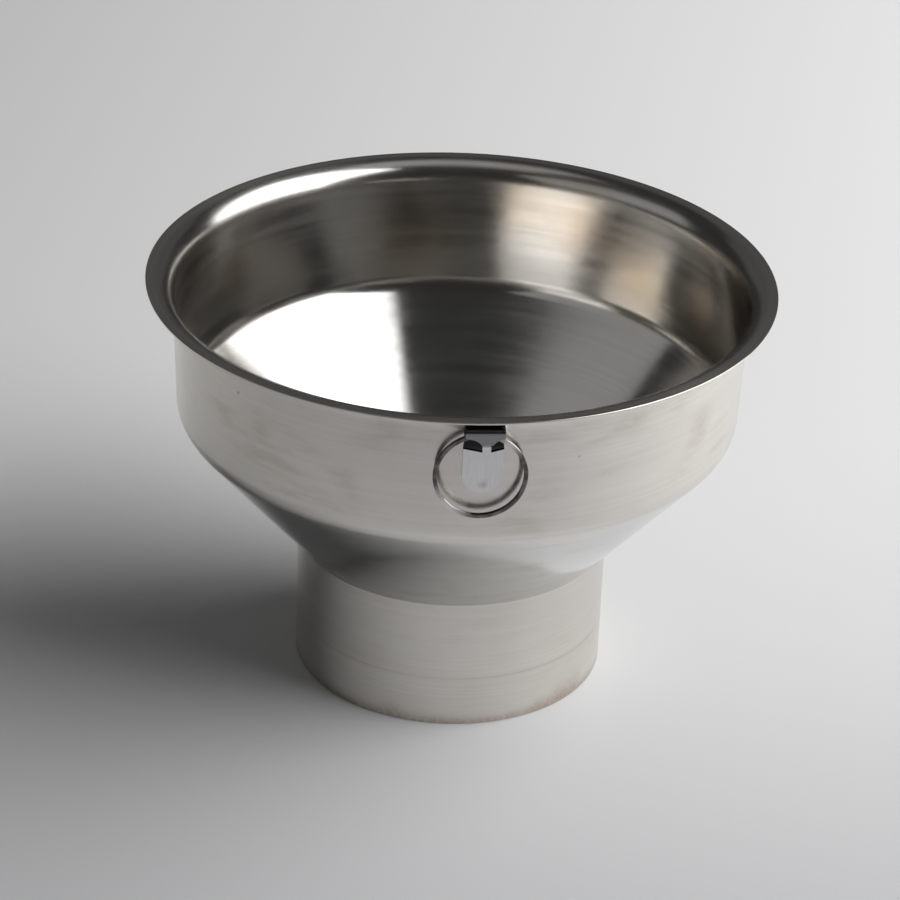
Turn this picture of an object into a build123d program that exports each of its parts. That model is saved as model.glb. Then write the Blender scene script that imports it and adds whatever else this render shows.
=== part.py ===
"""Canning funnel: a one-piece sheet steel funnel, its welded hanging strap and a loose split ring.

Frame: millimetres, +Z up along the funnel's axis, origin at the centre of the neck's bottom edge,
which is the plane that the funnel stands on. The hanging strap faces -Y.
"""

import os
from math import cos, radians, sin

from build123d import *

# ---- Driving dimensions -------------------------------------------------------------------------

# Funnel body. Corners are where the middles of the sheet's straight runs would meet, and
# bend radii are on the middle of the sheet too.
HEIGHT = 95.0
RIM_RADIUS = 70.0
SHEET = 0.5
NECK_RADIUS = 35.5          # outside
CREASE_HEIGHT = 31.2
CREASE_BEND = 1.25
KNEE_RADIUS = 62.95
KNEE_HEIGHT = 63.7
KNEE_BEND = 6.4
WALL_TOP_RADIUS = 63.9
LIP_BEND = 4.65
CUT_EDGE_ROUNDING = 0.15    # deburred edges of the sheet

# Hanging strap: a strip folded in two, with a loop at its top and its two layers welded together
# and to the wall. Corners are given as (distance from the axis, height) on the strip's middle.
STRAP = 0.4                 # thickness of one layer
SEAT_DEPTH = 0.2            # extra stock behind the strap, which is trimmed to the wall's curve
TAB_WIDTH = 8.5
TAB_BOTTOM = 75.8
FOLD_HEIGHT = 86.6          # where the front layer leaves the back one
LOOP_WIDTH = 8.2
LOOP_BELLY = (66.4, 88.2)
LOOP_FRONT = (67.65, 91.65)
LOOP_BACK = (64.75, 92.1)
LOOP_BENDS = (0.5, 0.6, 0.8)
LEAN_HEIGHT = 90.2          # above this the back layer leans away from the wall, under the lip
NECK_LEFT = -0.27           # sides of the narrow neck that joins the tab to the loop's front
NECK_RIGHT = 1.54
SHOULDER_HEIGHT = 86.4      # the tab's top corners
SHOULDER_DROP = 1.0         # the tab's top edge falls by this from its corners to the neck
NOTCH_TOP = 91.0
# The notch's upper edge: shares of the way out from the neck, and of the way up from the fold.
NOTCH_SWELL = (0.17, 0.48)
NOTCH_WAIST = (0.52, 0.70)
NOTCH_FLARE = (0.80, 0.83)
WELD_HEIGHT = 78.0
WELD_RADIUS = 0.9
WELD_DEPTH = 0.12

# Split ring: flat spring wire wound in two turns
RING_OUTER_RADIUS = 9.9
RING_TOP = 90.3
RING_DISTANCE = 65.4        # from the funnel's axis to the ring's middle plane
RING_OFFSET = -0.5          # the ring hangs a little to one side of the strap's middle
WIRE_WIDTH = 0.9            # across the ring's face
WIRE_THICKNESS = 0.45       # along the ring's axis
TURN_GAP = 0.02
TURNS = 2
WIRE_END_ANGLE = 6.0        # both ends of the wire, up from the ring's right-hand side

# ---- Derived dimensions -------------------------------------------------------------------------

LIP_MIDDLE = HEIGHT - SHEET / 2
NECK_MIDDLE = NECK_RADIUS - SHEET / 2
WALL_TAPER = (WALL_TOP_RADIUS - KNEE_RADIUS) / (LIP_MIDDLE - KNEE_HEIGHT)
PITCH = WIRE_THICKNESS + TURN_GAP
WIRE_MIDDLE = RING_OUTER_RADIUS - WIRE_WIDTH / 2
WELD_SPHERE = (WELD_RADIUS**2 + WELD_DEPTH**2) / (2 * WELD_DEPTH)
OUTSIDE = RIM_RADIUS + 5    # a distance from the axis that clears every piece


def wall_surface(height):
    """Distance from the axis to the wall's outer surface."""
    return WALL_TOP_RADIUS + SHEET / 2 - WALL_TAPER * (LIP_MIDDLE - height)


def side_section(points, bends, thickness):
    """Face in the YZ plane, on the -Y side, of a sheet whose middle follows the points."""
    corners = [(-distance, height) for distance, height in points]
    if bends:
        middle = FilletPolyline(*corners, radius=bends)
    else:
        middle = Polyline(*corners)
    return Plane.YZ * trace(middle, thickness)


def front_prism(outline, near):
    """Solid with an outline in X and height, reaching from near out past every piece."""
    front = Plane(origin=(0, -near, 0), x_dir=(1, 0, 0), z_dir=(0, -1, 0))
    return extrude(front * outline, OUTSIDE - near)


# ---- Funnel body --------------------------------------------------------------------------------


def make_funnel_body():
    """The whole funnel: neck, cone, knee, wall and lip, turned from one sheet."""
    section = side_section(
        [
            (NECK_MIDDLE, 0),
            (NECK_MIDDLE, CREASE_HEIGHT),
            (KNEE_RADIUS, KNEE_HEIGHT),
            (WALL_TOP_RADIUS, LIP_MIDDLE),
            (RIM_RADIUS, LIP_MIDDLE),
        ],
        [CREASE_BEND, KNEE_BEND, LIP_BEND],
        SHEET,
    )
    body = revolve(section, Axis.Z, 360)
    circles = body.edges().filter_by(GeomType.CIRCLE)
    neck_edges = [edge for edge in circles if abs(edge.center().Z) < 0.01]
    rim_edges = [edge for edge in circles if abs(edge.radius - RIM_RADIUS) < 0.01]
    return fillet(neck_edges + rim_edges, CUT_EDGE_ROUNDING)


# ---- Hanging strap ------------------------------------------------------------------------------


def strap_outline():
    """Front view of the whole strap: a round bottom end, straight sides and a narrower loop."""
    half = TAB_WIDTH / 2
    loop_half = LOOP_WIDTH / 2
    end_height = TAB_BOTTOM + half
    step_height = SHOULDER_HEIGHT + 1
    top = LOOP_BACK[1] + 2
    sides = Polyline(
        (half, end_height),
        (half, SHOULDER_HEIGHT),
        (loop_half, step_height),
        (loop_half, top),
        (-loop_half, top),
        (-loop_half, step_height),
        (-half, SHOULDER_HEIGHT),
        (-half, end_height),
    )
    end = ThreePointArc((-half, end_height), (0, TAB_BOTTOM), (half, end_height))
    return make_face(sides.edges() + end.edges())


def notch_outline(neck_side, edge):
    """Opening between the neck's side and the strap's edge, which lets the ring swing."""
    reach = edge - neck_side
    rise = NOTCH_TOP - FOLD_HEIGHT
    upper_edge = (NOTCH_SWELL, NOTCH_WAIST, NOTCH_FLARE)
    swell, waist, flare = [(neck_side + out * reach, FOLD_HEIGHT + up * rise) for out, up in upper_edge]
    edge_top = (edge, NOTCH_TOP)
    neck_bottom = (neck_side, SHOULDER_HEIGHT - SHOULDER_DROP)
    neck_top = (neck_side, FOLD_HEIGHT)
    inner = ThreePointArc(neck_top, swell, waist)
    outer = ThreePointArc(waist, flare, edge_top)
    rest = Polyline(edge_top, (edge, SHOULDER_HEIGHT + 0.1), neck_bottom, neck_top)
    return make_face(inner.edges() + outer.edges() + rest.edges())


def make_hanging_bracket(body):
    """The folded strap, trimmed to sit on the body's wall."""
    below = TAB_BOTTOM - 1
    back_low = (wall_surface(below) + STRAP / 2, below)
    back_high = (wall_surface(LEAN_HEIGHT) + STRAP / 2, LEAN_HEIGHT)
    front_low = (wall_surface(below) + 1.5 * STRAP, below)
    fold = (wall_surface(FOLD_HEIGHT) + 1.5 * STRAP, FOLD_HEIGHT)
    lean_share = (NOTCH_TOP - LEAN_HEIGHT) / (LOOP_BACK[1] - LEAN_HEIGHT)
    lean_top = (back_high[0] + lean_share * (LOOP_BACK[0] - back_high[0]), NOTCH_TOP)

    front_path = [front_low, fold, LOOP_BELLY, LOOP_FRONT, LOOP_BACK, back_high]
    front_bends = [STRAP, *LOOP_BENDS]
    back_path = [back_low, back_high, lean_top]
    seat_path = [(distance - SEAT_DEPTH, height) for distance, height in (back_low, back_high)]
    front = extrude(side_section(front_path, front_bends, STRAP), TAB_WIDTH, both=True)
    back = extrude(side_section(back_path, [STRAP], STRAP), TAB_WIDTH, both=True)
    seat = extrude(side_section(seat_path, [], STRAP), TAB_WIDTH, both=True)

    front_of_back = wall_surface(SHOULDER_HEIGHT - SHOULDER_DROP) + STRAP
    for neck_side, side in ((NECK_LEFT, -1), (NECK_RIGHT, 1)):
        edge = side * (TAB_WIDTH / 2 + 1)
        front -= front_prism(notch_outline(neck_side, edge), front_of_back)
    strap = (front + back + seat) & front_prism(strap_outline(), RIM_RADIUS / 2)

    tab_front = wall_surface(WELD_HEIGHT) + 2 * STRAP
    weld = Pos(0, -(tab_front + WELD_SPHERE - WELD_DEPTH), WELD_HEIGHT) * Sphere(WELD_SPHERE)
    return strap - weld - body


# ---- Split ring ---------------------------------------------------------------------------------


def make_split_ring():
    """Two flat-wire turns, hanging in the strap's loop with their axis along Y."""
    hanging = Plane(
        origin=(RING_OFFSET, -RING_DISTANCE, RING_TOP - RING_OUTER_RADIUS),
        x_dir=(1, 0, 0),
        z_dir=(0, -1, 0),
    )
    length = TURNS * PITCH
    path = Helix(PITCH, length, WIRE_MIDDLE, center=(0, 0, -length / 2), lefthand=True)
    path = Rot(0, 0, WIRE_END_ANGLE) * path
    end_angle = radians(WIRE_END_ANGLE)
    outward = (cos(end_angle), sin(end_angle), 0)
    section_plane = Plane(origin=path @ 0, x_dir=outward, z_dir=path % 0)
    section = section_plane * Rectangle(WIRE_WIDTH, WIRE_THICKNESS)
    return hanging * sweep(section, path, is_frenet=True)


# ---- Files --------------------------------------------------------------------------------------

funnel_body = make_funnel_body()
pieces = {
    "funnel_body": funnel_body,
    "hanging_bracket": make_hanging_bracket(funnel_body),
    "split_ring": make_split_ring(),
}
os.makedirs("parts", exist_ok=True)
for name, piece in pieces.items():
    export_step(piece, f"parts/{name}.step")
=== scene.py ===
"""A stainless steel canning funnel with a hanging ring, on a plain pale studio floor.

Everything is in metres, in the CAD frame: +Z up, origin under the middle of the neck, and the
hanging strap towards -Y. The funnel's sheet and the split ring are built here as finer meshes
that replace their CAD nodes; the hanging strap is the CAD node itself with softened edges.
"""

from math import copysign, cos, pi, radians, sin, tan

import bpy
from mathutils import Matrix, Vector


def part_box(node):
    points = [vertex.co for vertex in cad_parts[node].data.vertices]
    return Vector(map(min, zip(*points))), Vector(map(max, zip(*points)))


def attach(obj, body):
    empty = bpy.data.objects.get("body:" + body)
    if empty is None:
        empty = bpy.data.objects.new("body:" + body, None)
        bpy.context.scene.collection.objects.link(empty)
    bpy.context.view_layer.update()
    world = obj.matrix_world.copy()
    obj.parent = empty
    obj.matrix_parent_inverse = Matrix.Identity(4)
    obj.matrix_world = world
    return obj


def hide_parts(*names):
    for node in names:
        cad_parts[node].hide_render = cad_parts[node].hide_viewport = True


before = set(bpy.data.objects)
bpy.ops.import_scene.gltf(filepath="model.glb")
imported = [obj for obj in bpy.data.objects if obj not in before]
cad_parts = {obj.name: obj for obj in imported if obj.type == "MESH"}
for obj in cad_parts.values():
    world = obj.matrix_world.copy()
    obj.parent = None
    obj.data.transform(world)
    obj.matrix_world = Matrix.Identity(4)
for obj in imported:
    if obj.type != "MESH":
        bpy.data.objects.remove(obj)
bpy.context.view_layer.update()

MM = 0.001

# ---- Camera -------------------------------------------------------------------------------------

CAMERA_AIM = (-1.1 * MM, 0.6 * MM, 50.9 * MM)
CAMERA_AZIMUTH = 5.126      # degrees, from looking along +Y towards +X
CAMERA_ELEVATION = 28.202
CAMERA_DISTANCE = 731.8 * MM
CAMERA_ROLL = 2.362
SENSOR_WIDTH = 36.0         # millimetres, as Blender's camera has it
LENS = 128.24
FAR_CLIP = 20.0

# ---- Funnel body, on the middle of its sheet ----------------------------------------------------

SHEET = 0.5 * MM
RIM_RADIUS = 70.0 * MM
HEIGHT = 95.0 * MM
NECK_RADIUS = 35.5 * MM
CREASE_HEIGHT = 31.2 * MM
KNEE_RADIUS = 62.95 * MM
KNEE_HEIGHT = 63.7 * MM
WALL_TOP_RADIUS = 63.9 * MM
BENDS = (1.25 * MM, 6.4 * MM, 4.65 * MM)
EDGE_ROUNDING = 0.17 * MM
EDGE_STEPS = 4              # sides of each rounded corner
AROUND = 360                # sides of the turned mesh

# ---- Hanging strap, a CAD node ------------------------------------------------------------------

WELD_HEIGHT = 78.0 * MM
FOLD_HEIGHT = 86.6 * MM
STRAP_LAYER = 0.5 * MM      # room that the back layer takes, out from the wall
STRAP_FRONT = 1.5 * MM      # from the knee's radius out to the strap's front, at the weld
LOOP_LEAN = 0.4             # how far the loop's gap leans out for each metre above the fold
GAP_BLUR = 0.12 * MM        # half of the shadow's soft edge
FOLD_BLUR = 0.5 * MM
EDGE_SOFTENING = 0.12 * MM

# ---- Split ring ---------------------------------------------------------------------------------

WIRE_WIDTH = 0.9 * MM
WIRE_THICKNESS = 0.45 * MM
WIRE_SIDES = 28
WIRE_ROUNDNESS = 0.5        # 1 makes the wire's section an ellipse, and 0 a rectangle
TURN_GAP = 0.02 * MM
TURNS = 2
ROWS_PER_TURN = 144
WIRE_END_ANGLE = 6.0        # degrees up from the ring's right-hand side

# ---- Finish -------------------------------------------------------------------------------------

# Colour and roughness of the sheet, by stretch and side. The neck is as the wall, apart from its
# colour outside.
WALL_OUTSIDE = ((0.83, 0.80, 0.745), 0.21)
WALL_INSIDE = ((0.68, 0.66, 0.625), 0.18)
LIP_ROUGHNESS = 0.225       # the inside's, where it reaches the lip
CONE_OUTSIDE = ((0.63, 0.64, 0.64), 0.08)
CONE_INSIDE = ((0.68, 0.67, 0.65), 0.175)
NECK_COLOUR = (0.72, 0.695, 0.65)
POLISH_FROM = (30.4 * MM, 32.0 * MM)        # heights where the cone's polish comes in and goes out
POLISH_TO = (57 * MM, 67 * MM)
LIP_FROM = (86 * MM, 91 * MM)
STAIN = (0.42, 0.34, 0.27)
DARK_STAIN = (0.12, 0.10, 0.09)
ANISOTROPY = 0.75
SPIN_DIRECTION = 0.25       # turns the highlights' stretch to run up the sheet
FACING = (-0.3, 0.3)        # outward part of a face's normal: inside below these, outside above

# Hoops of noise on the sheet: changes per metre up it, changes round it, and detail.
FINE_HOOPS = (1800, 0.3, 1.0)
BROAD_HOOPS = (420, 1.2, 2.0)
STREAK_HOOPS = (260, 4.0, 3.0)
HOOP_ROUGHNESS = 0.6
HOOP_DEPTH = 0.01 * MM
FINE_STRENGTH = 0.03
BROAD_STRENGTH = 0.3
HOOP_SHADE = (0.965, 1.02)          # what the hoops multiply the steel's colour by
ROUGHNESS_WOBBLE = (0.82, 1.2)      # what the hoops and patches multiply its roughness by
STREAK_STRENGTH = 0.25
NECK_STREAKS = 0.4                  # the neck's streaks, as a share of the wall's

# Marks on the outside: degrees round from the strap, height, radius and strength.
MARKS = [
    (50.0, 79.5 * MM, 6.5 * MM, 0.36),
    (-45.5, 80.0 * MM, 4.5 * MM, 0.28),
    (-26.0, 75.0 * MM, 5.0 * MM, 0.22),
    (33.0, 0.5 * MM, 5.0 * MM, 0.50),
    (42.0, 1.5 * MM, 5.5 * MM, 0.55),
    (50.0, 2.0 * MM, 5.5 * MM, 0.50),
    (-25.0, 0.8 * MM, 5.0 * MM, 0.45),
    (-18.0, 90.5 * MM, 6.0 * MM, 0.25),
    (30.0, 88.0 * MM, 7.0 * MM, 0.25),
    (-51.5, 86.4 * MM, 0.6 * MM, 0.6),
    (18.7, 82.2 * MM, 0.5 * MM, 0.55),
    (-34.0, 77.0 * MM, 0.5 * MM, 0.35),
]
NECK_LINE = 12.0 * MM

# Brown tints painted on the inside of the wall where its highlights fall, a painted warm
# reflection; given like the marks.
WARM_REFLECTION_TINT = (0.60, 0.49, 0.375)
INSIDE_REFLECTION_TINTS = [
    (186.0, 76.0 * MM, 17.0 * MM, 0.75),
    (163.0, 86.0 * MM, 14.0 * MM, 0.65),
    (148.0, 83.0 * MM, 16.0 * MM, 0.80),
    (133.0, 74.0 * MM, 16.0 * MM, 0.80),
    (112.0, 74.0 * MM, 14.0 * MM, 0.75),
    (232.0, 78.0 * MM, 11.0 * MM, 0.65),
]

# Where the darker band above the foot, by height, and the line round the neck, by distance from it,
# start to fade and end, and how strong they are.
FOOT_DARK_BAND = (0.3 * MM, 3.2 * MM, 0.7)
NECK_LINE_EDGE = (0.05 * MM, 0.45 * MM, 0.3)

# The strap's colours: the two ends of its brushing, painted shade on the loop above the fold, and
# painted shadow where it is in shade.
STRAP_DULL = (0.80, 0.80, 0.79)
STRAP_BRIGHT = (0.88, 0.88, 0.87)
STRAP_LOOP_SHADE = (0.24, 0.24, 0.25)
STRAP_SHADOW = (0.03, 0.028, 0.028)
STRAP_UNDER_LIP = (91.4 * MM, 91.9 * MM)
WELD_TINT = (0.5 * MM, 1.6 * MM, 0.28)      # radii where the tint starts to fade and ends, strength

RING_DARK = (0.11, 0.10, 0.09)
RING_LIGHT = (0.24, 0.225, 0.21)
RING_HIGHLIGHT = (0.86, 0.84, 0.80)
STRAP_ROUGHNESS = (0.15, 0.24)
RING_ROUGHNESS = (0.06, 0.12)
BRUSHING_DEPTH = 0.004 * MM

# Painted highlights on the ring: degrees round its face from its right-hand side, and spread.
PAINTED_RING_HIGHLIGHTS = [
    (226.0, 7.0 * MM),
    (52.0, 4.0 * MM),
]

# ---- Studio -------------------------------------------------------------------------------------

FLOOR_REACH = 8.0
# The paper's colour carries painted shade: darker towards the camera and to the left.
PAPER_FRONT = (0.435, 0.435, 0.455)
PAPER_BACK = (0.81, 0.81, 0.81)
PAPER_FRONT_TO_BACK = (-0.26, 0.12)         # along Y, between the two colours; the darker front is painted shade
PAPER_LEFT_TO_RIGHT = (-0.7, 0.5)           # along X, between the two levels of painted light
PAPER_LIGHT_LEVELS = (0.5, 1.13)
PAPER_ROUGHNESS = 0.7

# Softboxes: name, place, size, power, and whether polished steel shows them. The key is two lamps
# in one place, so that the floor gets more of its light than the reflections show.
SOFTBOXES = [
    ("key_right", (1.35, -0.18, 1.08), (2.0, 1.85), 30, True),
    ("key_diffuser", (1.35, -0.18, 1.08), (2.0, 1.85), 34, False),
    ("left_fill", (-1.4, -0.45, 1.0), (2.3, 1.2), 2.4, True),
    ("back_wall", (0.0, 2.5, 1.35), (3.0, 1.2), 0.58, True),
    ("overhead", (0.0, 0.0, 2.0), (1.3, 1.3), 1.6, True),
]
ROOM_LIGHT = (0.03, 0.03, 0.03)


# ---- Mesh helpers -------------------------------------------------------------------------------


def new_piece(name, vertices, faces, body, node):
    """A smooth mesh object that rides on a body and replaces a CAD node."""
    mesh = bpy.data.meshes.new(name)
    mesh.from_pydata(vertices, [], faces)
    mesh.shade_smooth()
    mesh.update()
    piece = bpy.data.objects.new(name, mesh)
    bpy.context.scene.collection.objects.link(piece)
    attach(piece, body)
    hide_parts(node)
    return piece


def bent_path(corners, bends, arc_step=radians(3), run_step=2.0 * MM):
    """Points of a line through corners, with round bends: (point, direction) for each station."""
    corners = [Vector(corner) for corner in corners]
    stations = []
    start = corners[0]
    for index, radius in enumerate(bends, start=1):
        before = (corners[index] - corners[index - 1]).normalized()
        after = (corners[index + 1] - corners[index]).normalized()
        turn = before.angle_signed(after)
        reach = radius * tan(abs(turn) / 2)
        arc_start = corners[index] - before * reach
        stations += straight_stations(start, arc_start, run_step)
        side = -1 if turn > 0 else 1
        centre = arc_start + Vector((-before.y, before.x)) * radius * side
        count = max(4, round(abs(turn) / arc_step))
        for step in range(count + 1):
            angle = abs(turn) * step / count * side
            spoke = Matrix.Rotation(angle, 2) @ (arc_start - centre)
            stations.append((centre + spoke, Matrix.Rotation(angle, 2) @ before))
        start = corners[index] + after * reach
    stations += straight_stations(start, corners[-1], run_step)
    return stations


def straight_stations(start, end, run_step):
    """Stations strictly between the ends of a straight run, which its neighbours supply."""
    direction = (end - start).normalized()
    count = max(2, round((end - start).length / run_step))
    return [(start.lerp(end, step / count), direction) for step in range(1, count)]


# ---- Funnel body --------------------------------------------------------------------------------


def rounded_end(point, direction, half, rounding, outward):
    """Points round a cut edge of the sheet, from one face to the other."""
    normal = Vector((-direction.y, direction.x))
    ahead = direction * outward
    points = []
    for side in (1, -1):
        corner = point - ahead * rounding + normal * side * (half - rounding)
        steps = range(EDGE_STEPS + 1)
        for step in steps if side == 1 else reversed(steps):
            angle = pi / 2 * step / EDGE_STEPS
            spoke = normal * side * cos(angle) + ahead * sin(angle)
            points.append(corner + spoke * rounding)
    return points


def make_funnel_body():
    """The turned sheet as a closed ring of quads, with smooth bends and rounded cut edges."""
    lip_middle = HEIGHT - SHEET / 2
    neck_middle = NECK_RADIUS - SHEET / 2
    corners = [
        (neck_middle, 0),
        (neck_middle, CREASE_HEIGHT),
        (KNEE_RADIUS, KNEE_HEIGHT),
        (WALL_TOP_RADIUS, lip_middle),
        (RIM_RADIUS, lip_middle),
    ]
    stations = bent_path(corners, BENDS)
    half = SHEET / 2
    inner = [point + Vector((-way.y, way.x)) * half for point, way in stations]
    outer = [point - Vector((-way.y, way.x)) * half for point, way in stations]
    rim_way = stations[-1][1]
    neck_way = stations[0][1]
    rim_end = rounded_end(Vector(corners[-1]), rim_way, half, EDGE_ROUNDING, 1)
    neck_end = rounded_end(Vector(corners[0]), neck_way, half, EDGE_ROUNDING, -1)
    profile = inner + rim_end + outer[::-1] + neck_end[::-1]

    count = len(profile)
    vertices = []
    for point in profile:
        for step in range(AROUND):
            angle = 2 * pi * step / AROUND
            vertices.append((point.x * cos(angle), point.x * sin(angle), point.y))
    faces = []
    for row in range(count):
        this_row = row * AROUND
        next_row = (row + 1) % count * AROUND
        for step in range(AROUND):
            side = (step + 1) % AROUND
            faces.append((this_row + step, next_row + step, next_row + side, this_row + side))
    return new_piece("funnel_sheet", vertices, faces, "funnel", "funnel_body")


# ---- Split ring ---------------------------------------------------------------------------------


def wire_section():
    """A flat section with rounded corners, as (across the ring's face, along its axis)."""
    points = []
    for step in range(WIRE_SIDES):
        angle = 2 * pi * step / WIRE_SIDES
        across = copysign(abs(cos(angle)) ** WIRE_ROUNDNESS, cos(angle))
        along = copysign(abs(sin(angle)) ** WIRE_ROUNDNESS, sin(angle))
        points.append((WIRE_WIDTH / 2 * across, WIRE_THICKNESS / 2 * along))
    return points


def make_split_ring():
    """Two turns of flat wire, wound like the CAD ring and closed at both ends."""
    low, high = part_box("split_ring")
    radius = (high.x - low.x) / 2 - WIRE_WIDTH / 2
    middle = (low + high) / 2
    pitch = WIRE_THICKNESS + TURN_GAP
    section = wire_section()
    rows = TURNS * ROWS_PER_TURN
    vertices = []
    for row in range(rows + 1):
        share = row / rows
        angle = radians(WIRE_END_ANGLE) - 2 * pi * TURNS * share
        depth = middle.y + TURNS * pitch * (0.5 - share)
        for across, along in section:
            reach = radius + across
            vertices.append((
                middle.x + reach * cos(angle),
                depth - along,
                middle.z + reach * sin(angle),
            ))
    size = len(section)
    faces = [tuple(range(size))[::-1], tuple(rows * size + k for k in range(size))]
    for row in range(rows):
        for step in range(size):
            side = (step + 1) % size
            this_row = row * size
            next_row = (row + 1) * size
            faces.append((this_row + step, this_row + side, next_row + side, next_row + step))
    return new_piece("split_ring_wire", vertices, faces, "ring", "split_ring")


# ---- Materials ----------------------------------------------------------------------------------


class Nodes:
    """A new material's node tree, with short calls that return output sockets."""

    def __init__(self, name):
        self.material = bpy.data.materials.new(name)
        self.material.use_nodes = True
        self.tree = self.material.node_tree
        self.shader = self.tree.nodes["Principled BSDF"]

    def set(self, node, inputs):
        """Give a node's inputs plain values or links from other sockets."""
        for key, value in inputs.items():
            if isinstance(value, bpy.types.NodeSocket):
                self.tree.links.new(value, node.inputs[key])
            else:
                node.inputs[key].default_value = value

    def add(self, kind, inputs, **settings):
        node = self.tree.nodes.new("ShaderNode" + kind)
        for key, value in settings.items():
            setattr(node, key, value)
        self.set(node, inputs)
        return node

    def math(self, operation, first, second=0.0):
        return self.add("Math", {0: first, 1: second}, operation=operation).outputs[0]

    def vector(self, operation, first, second=(0, 0, 0)):
        node = self.add("VectorMath", {0: first, 1: second}, operation=operation)
        gives_number = operation in ("LENGTH", "DOT_PRODUCT", "DISTANCE")
        return node.outputs["Value" if gives_number else "Vector"]

    def scaled(self, vector, factor):
        node = self.add("VectorMath", {0: vector, "Scale": factor}, operation="SCALE")
        return node.outputs["Vector"]

    def blend(self, value, low, high, to_low=0.0, to_high=1.0):
        """Value's smooth step from to_low, at low, to to_high, at high."""
        inputs = {
            "Value": value, "From Min": low, "From Max": high, "To Min": to_low, "To Max": to_high,
        }
        return self.add("MapRange", inputs, interpolation_type="SMOOTHSTEP").outputs[0]

    def colour(self, factor, first, second):
        """A mix of two colours, which are sockets or (red, green, blue)."""
        ends = [
            end if isinstance(end, bpy.types.NodeSocket) else (*end, 1) for end in (first, second)
        ]
        node = self.add("Mix", {0: factor, 6: ends[0], 7: ends[1]}, data_type="RGBA")
        return node.outputs[2]

    def noise(self, vector, scale, detail=3.0, roughness=0.55, w=None):
        inputs = {"Vector": vector, "Scale": scale, "Detail": detail, "Roughness": roughness}
        if w is not None:
            inputs["W"] = w
        dimensions = "3D" if w is None else "4D"
        return self.add("TexNoise", inputs, noise_dimensions=dimensions).outputs[0]

    def bump(self, height, distance, strength, normal=None):
        inputs = {"Height": height, "Distance": distance, "Strength": strength}
        if normal is not None:
            inputs["Normal"] = normal
        return self.add("Bump", inputs).outputs[0]

    def mix(self, factor, first, second):
        """A mix of two plain numbers."""
        return self.add("Mix", {0: factor, 2: first, 3: second}, data_type="FLOAT").outputs[0]

    def finish(self, **inputs):
        """Set the surface shader's inputs, and return the material."""
        self.set(self.shader, {key.replace("_", " "): value for key, value in inputs.items()})
        return self.material


def round_the_axis(radius, angle, height):
    """A point by its distance from the funnel's axis, degrees round from the strap, and height."""
    return (radius * sin(radians(angle)), -radius * cos(radians(angle)), height)


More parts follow.
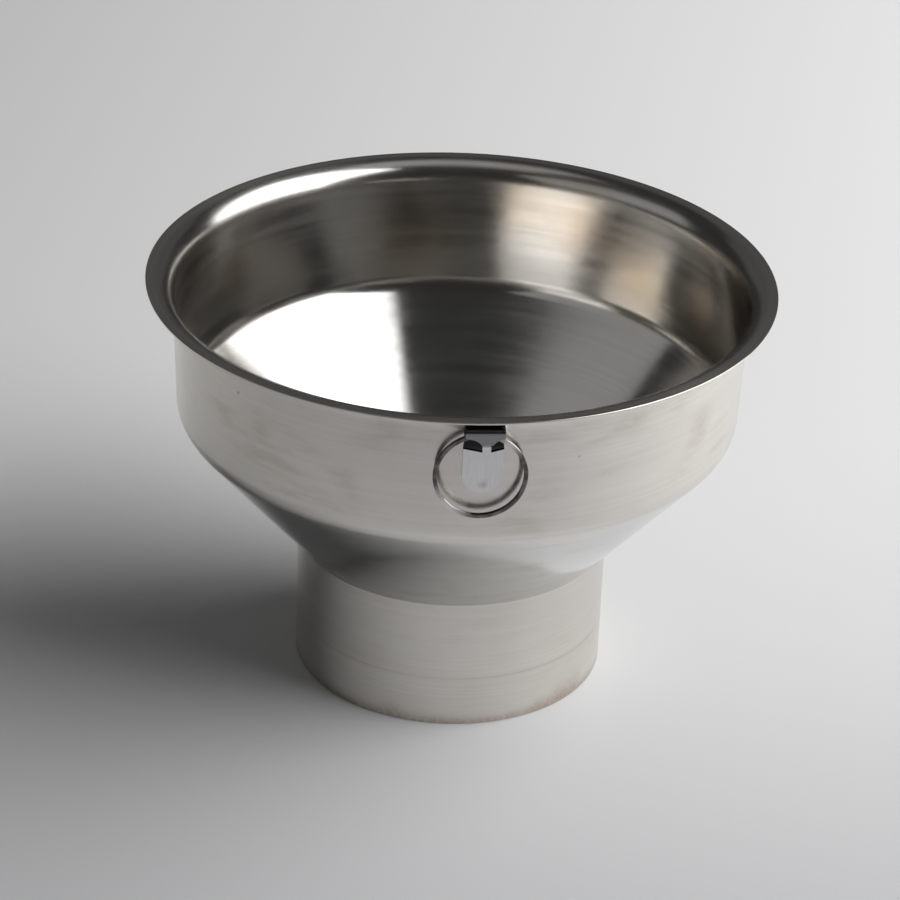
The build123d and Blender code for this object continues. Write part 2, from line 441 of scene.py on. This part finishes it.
def spun_steel():
    """Turned stainless sheet: satin walls with fine hoops, a polished cone, faint stains, and warm
    tints painted inside where its highlights fall.
    """
    nodes = Nodes("spun_steel")
    place = nodes.add("TexCoord", {})
    position = place.outputs["Object"]
    height = nodes.add("SeparateXYZ", {0: position}).outputs["Z"]
    flat = nodes.vector("MULTIPLY", position, (1, 1, 0))
    radius = nodes.vector("LENGTH", flat)
    spoke = nodes.vector("NORMALIZE", flat)
    outside = nodes.blend(nodes.vector("DOT_PRODUCT", place.outputs["Normal"], spoke), *FACING)
    in_bowl = nodes.blend(height, *POLISH_FROM)
    polish = nodes.math("MULTIPLY", in_bowl, nodes.blend(height, *POLISH_TO, 1.0, 0.0))

    def hoops(per_metre, around, detail):
        """Noise that changes fast up the sheet and slowly round it."""
        out = nodes.add("CombineXYZ", {"Z": nodes.math("MULTIPLY", radius, per_metre)})
        circling = nodes.vector("ADD", nodes.scaled(spoke, around), out.outputs[0])
        up = nodes.math("MULTIPLY", height, per_metre)
        return nodes.noise(circling, 1.0, detail, HOOP_ROUGHNESS, up)

    fine = hoops(*FINE_HOOPS)
    broad = hoops(*BROAD_HOOPS)
    streaks = hoops(*STREAK_HOOPS)
    patches = nodes.noise(position, 45.0, 4.0)

    # Clean steel, by side and stretch.
    outer = nodes.colour(in_bowl, NECK_COLOUR, WALL_OUTSIDE[0])
    wall = nodes.colour(outside, WALL_INSIDE[0], outer)
    cone = nodes.colour(outside, CONE_INSIDE[0], CONE_OUTSIDE[0])
    steel = nodes.colour(polish, wall, cone)
    inside_rough = nodes.blend(height, *LIP_FROM, WALL_INSIDE[1], LIP_ROUGHNESS)
    wall_rough = nodes.blend(outside, 0, 1, inside_rough, WALL_OUTSIDE[1])
    cone_rough = nodes.blend(outside, 0, 1, CONE_INSIDE[1], CONE_OUTSIDE[1])
    rough = nodes.mix(polish, wall_rough, cone_rough)

    # Hoops and patches, which dull the steel a little.
    lines = nodes.blend(nodes.math("ADD", fine, broad), 0.8, 1.2, *HOOP_SHADE)
    steel = nodes.scaled(steel, lines)
    wobble = nodes.math("ADD", broad, patches)
    rough = nodes.math("MULTIPLY", rough, nodes.blend(wobble, 0.7, 1.3, *ROUGHNESS_WOBBLE))

    # Brown streaks and marks outside, brown tints painted inside where the highlights fall (a
    # painted reflection tint), a darker band above the foot, and the turned line.
    streaked = nodes.blend(streaks, 0.48, 0.72, 0.0, STREAK_STRENGTH)
    streaked = nodes.math("MULTIPLY", streaked, nodes.blend(patches, 0.4, 0.6))
    by_height = nodes.blend(height, *POLISH_FROM, NECK_STREAKS, 1.0)
    streaked = nodes.math("MULTIPLY", streaked, by_height)
    steel = nodes.colour(nodes.math("MULTIPLY", streaked, outside), steel, STAIN)
    uneven = nodes.blend(nodes.noise(position, 1100.0, 5.0), 0.3, 0.65, 0.45, 1.0)
    for angle, mark_height, mark_radius, strength in MARKS:
        reach = NECK_RADIUS if mark_height < CREASE_HEIGHT else WALL_TOP_RADIUS
        centre = round_the_axis(reach, angle, mark_height)
        away = nodes.vector("DISTANCE", position, centre)
        spot = nodes.blend(away, 0.0, mark_radius, strength, 0.0)
        small = mark_radius < MM
        if not small:
            spot = nodes.math("MULTIPLY", spot, uneven)
        spot = nodes.math("MULTIPLY", spot, outside)
        steel = nodes.colour(spot, steel, DARK_STAIN if small else STAIN)
    inside = nodes.math("SUBTRACT", 1.0, outside)
    # Painted reflection tint: warm brown where the inside's highlights fall.
    for angle, tint_height, spread, strength in INSIDE_REFLECTION_TINTS:
        centre = round_the_axis(WALL_TOP_RADIUS, angle, tint_height)
        tint = nodes.blend(nodes.vector("DISTANCE", position, centre), 0.0, spread, strength, 0.0)
        steel = nodes.colour(nodes.math("MULTIPLY", tint, inside), steel, WARM_REFLECTION_TINT)
    # A darker brown band just above the foot.
    foot = nodes.math("MULTIPLY", nodes.blend(height, *FOOT_DARK_BAND, 0.0), uneven)
    steel = nodes.colour(nodes.math("MULTIPLY", foot, outside), steel, STAIN)
    off_line = nodes.math("ABSOLUTE", nodes.math("SUBTRACT", height, NECK_LINE))
    line = nodes.math("MULTIPLY", nodes.blend(off_line, *NECK_LINE_EDGE, 0.0), outside)
    line = nodes.math("MULTIPLY", line, nodes.blend(patches, 0.35, 0.6, 0.3, 1.0))
    steel = nodes.colour(line, steel, STAIN)

    broad_bumps = nodes.bump(broad, HOOP_DEPTH, BROAD_STRENGTH)
    bumps = nodes.bump(fine, HOOP_DEPTH, FINE_STRENGTH, broad_bumps)
    return nodes.finish(
        Base_Color=steel, Metallic=1.0, Roughness=rough, Normal=bumps,
        Anisotropic=ANISOTROPY, Anisotropic_Rotation=SPIN_DIRECTION,
        Tangent=nodes.add("Tangent", {}, direction_type="RADIAL", axis="Z").outputs[0],
    )


def strap_steel():
    """The strap's sheet: bright and lightly brushed, with painted shade on the loop above the fold
    and painted shadow in the loop's gap and under the lip.
    """
    nodes = Nodes("strap_steel")
    position = nodes.add("TexCoord", {}).outputs["Object"]
    split = nodes.add("SeparateXYZ", {0: position}).outputs
    brushing = nodes.noise(nodes.vector("MULTIPLY", position, (6000, 300, 300)), 1.0, 2.0)
    patches = nodes.noise(position, 900.0, 3.0)
    steel = nodes.colour(nodes.blend(brushing, 0.3, 0.7), STRAP_DULL, STRAP_BRIGHT)
    weld = (0, -KNEE_RADIUS - STRAP_FRONT, WELD_HEIGHT)
    heat = nodes.blend(nodes.vector("DISTANCE", position, weld), *WELD_TINT, 0.0)
    steel = nodes.colour(heat, steel, STAIN)

    # Distance out from the wall: the back layer and the loop's gap lie nearer than the front layer.
    slope = (WALL_TOP_RADIUS - KNEE_RADIUS) / (HEIGHT - SHEET / 2 - KNEE_HEIGHT)
    wall = nodes.math("MULTIPLY", nodes.math("SUBTRACT", split["Z"], KNEE_HEIGHT), slope)
    out = nodes.math("SUBTRACT", nodes.math("MULTIPLY", split["Y"], -1.0), wall)
    above_fold = nodes.math("MAXIMUM", nodes.math("SUBTRACT", split["Z"], FOLD_HEIGHT), 0.0)
    past_gap = nodes.math("SUBTRACT", out, nodes.math("MULTIPLY", above_fold, LOOP_LEAN))
    near_wall = KNEE_RADIUS + SHEET / 2 + STRAP_LAYER
    gap = nodes.blend(past_gap, near_wall - GAP_BLUR, near_wall + GAP_BLUR, 1.0, 0.0)
    # Painted shade: the loop above the fold is darkened.
    loop = nodes.blend(split["Z"], FOLD_HEIGHT, FOLD_HEIGHT + FOLD_BLUR)
    steel = nodes.colour(loop, steel, STRAP_LOOP_SHADE)
    top = nodes.blend(split["Z"], *STRAP_UNDER_LIP)
    steel = nodes.colour(nodes.math("MAXIMUM", gap, top), steel, STRAP_SHADOW)
    rough = nodes.blend(patches, 0.3, 0.7, *STRAP_ROUGHNESS)
    bumps = nodes.bump(brushing, BRUSHING_DEPTH, 0.1)
    return nodes.finish(Base_Color=steel, Metallic=1.0, Roughness=rough, Normal=bumps)


def ring_steel():
    """The ring's wire: drawn steel, darker than the sheet, with highlights painted in two places.
    """
    nodes = Nodes("ring_steel")
    position = nodes.add("TexCoord", {}).outputs["Object"]
    low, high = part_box("split_ring")
    middle = (low + high) / 2
    highlight_reach = (high.x - low.x) / 2
    in_plane = nodes.vector("MULTIPLY", position, (1, 0, 1))
    reach = nodes.vector("DISTANCE", in_plane, (middle.x, 0, middle.z))
    drawn = nodes.add("CombineXYZ", {"X": nodes.math("MULTIPLY", reach, 9000.0)}).outputs[0]
    lines = nodes.noise(nodes.vector("ADD", drawn, nodes.scaled(position, 60.0)), 1.0, 2.0)
    patches = nodes.noise(position, 500.0, 3.0)
    steel = nodes.colour(nodes.blend(patches, 0.35, 0.65), RING_DARK, RING_LIGHT)
    # Painted highlights: the wire's colour is brightened in two places.
    for angle, spread in PAINTED_RING_HIGHLIGHTS:
        place = (
            middle.x + highlight_reach * cos(radians(angle)),
            middle.y,
            middle.z + highlight_reach * sin(radians(angle)),
        )
        bright = nodes.blend(nodes.vector("DISTANCE", position, place), 0.0, spread, 1.0, 0.0)
        steel = nodes.colour(bright, steel, RING_HIGHLIGHT)
    rough = nodes.blend(patches, 0.3, 0.7, *RING_ROUGHNESS)
    bumps = nodes.bump(lines, BRUSHING_DEPTH, 0.15)
    return nodes.finish(Base_Color=steel, Metallic=1.0, Roughness=rough, Normal=bumps)


def dress(piece, material):
    piece.data.materials.clear()
    piece.data.materials.append(material)


def pale_paper():
    """The floor's paper: pale behind the funnel, with painted shade towards the camera and to the
    left.
    """
    nodes = Nodes("pale_paper")
    position = nodes.add("TexCoord", {}).outputs["Object"]
    split = nodes.add("SeparateXYZ", {0: position}).outputs
    paper = nodes.colour(nodes.blend(split["Y"], *PAPER_FRONT_TO_BACK), PAPER_FRONT, PAPER_BACK)
    level = nodes.blend(split["X"], *PAPER_LEFT_TO_RIGHT, *PAPER_LIGHT_LEVELS)
    return nodes.finish(Base_Color=nodes.scaled(paper, level), Roughness=PAPER_ROUGHNESS)


# ---- Floor, lights and camera -------------------------------------------------------------------


def make_floor():
    """A wide flat sheet of pale paper."""
    reach = FLOOR_REACH
    vertices = [(-reach, -reach, 0), (reach, -reach, 0), (reach, reach, 0), (-reach, reach, 0)]
    faces = [(0, 1, 2, 3)]
    mesh = bpy.data.meshes.new("studio_sweep")
    mesh.from_pydata(vertices, [], faces)
    mesh.shade_smooth()
    floor = bpy.data.objects.new("studio_sweep", mesh)
    bpy.context.scene.collection.objects.link(floor)
    dress(floor, pale_paper())


def add_softbox(name, place, size, power, shown):
    """A rectangular area light that faces the funnel."""
    light = bpy.data.lights.new(name, "AREA")
    light.shape = "RECTANGLE"
    light.size, light.size_y = size
    light.energy = power
    lamp = bpy.data.objects.new(name, light)
    bpy.context.scene.collection.objects.link(lamp)
    lamp.location = place
    lamp.visible_glossy = shown
    aim = Vector((0, 0, HEIGHT / 2)) - Vector(place)
    lamp.rotation_euler = aim.to_track_quat("-Z", "Y").to_euler()


def make_camera():
    """The camera: circling the aim point, then rolled about its own line of sight."""
    azimuth = radians(CAMERA_AZIMUTH)
    elevation = radians(CAMERA_ELEVATION)
    level_reach = cos(elevation)
    forward = Vector((sin(azimuth) * level_reach, cos(azimuth) * level_reach, -sin(elevation)))
    data = bpy.data.cameras.new("camera")
    data.sensor_width = SENSOR_WIDTH
    data.lens = LENS
    data.clip_end = FAR_CLIP
    camera = bpy.data.objects.new("camera", data)
    bpy.context.scene.collection.objects.link(camera)
    camera.location = Vector(CAMERA_AIM) - forward * CAMERA_DISTANCE
    level = forward.to_track_quat("-Z", "Y")
    camera.rotation_mode = "QUATERNION"
    roll = Matrix.Rotation(radians(-CAMERA_ROLL), 3, forward).to_quaternion()
    camera.rotation_quaternion = roll @ level
    bpy.context.scene.camera = camera


# ---- The scene ----------------------------------------------------------------------------------

make_camera()
make_floor()
body = make_funnel_body()
ring = make_split_ring()
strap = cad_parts["hanging_bracket"]
dress(body, spun_steel())
dress(ring, ring_steel())
dress(strap, strap_steel())
soften = strap.modifiers.new("softened_edges", "BEVEL")
soften.width = EDGE_SOFTENING
soften.segments = 2
soften.limit_method = "ANGLE"

for softbox in SOFTBOXES:
    add_softbox(*softbox)
world = bpy.data.worlds.new("studio")
world.use_nodes = True
world.node_tree.nodes["Background"].inputs["Color"].default_value = (*ROOM_LIGHT, 1)
bpy.context.scene.world = world
bpy.context.scene.view_settings.view_transform = "Standard"
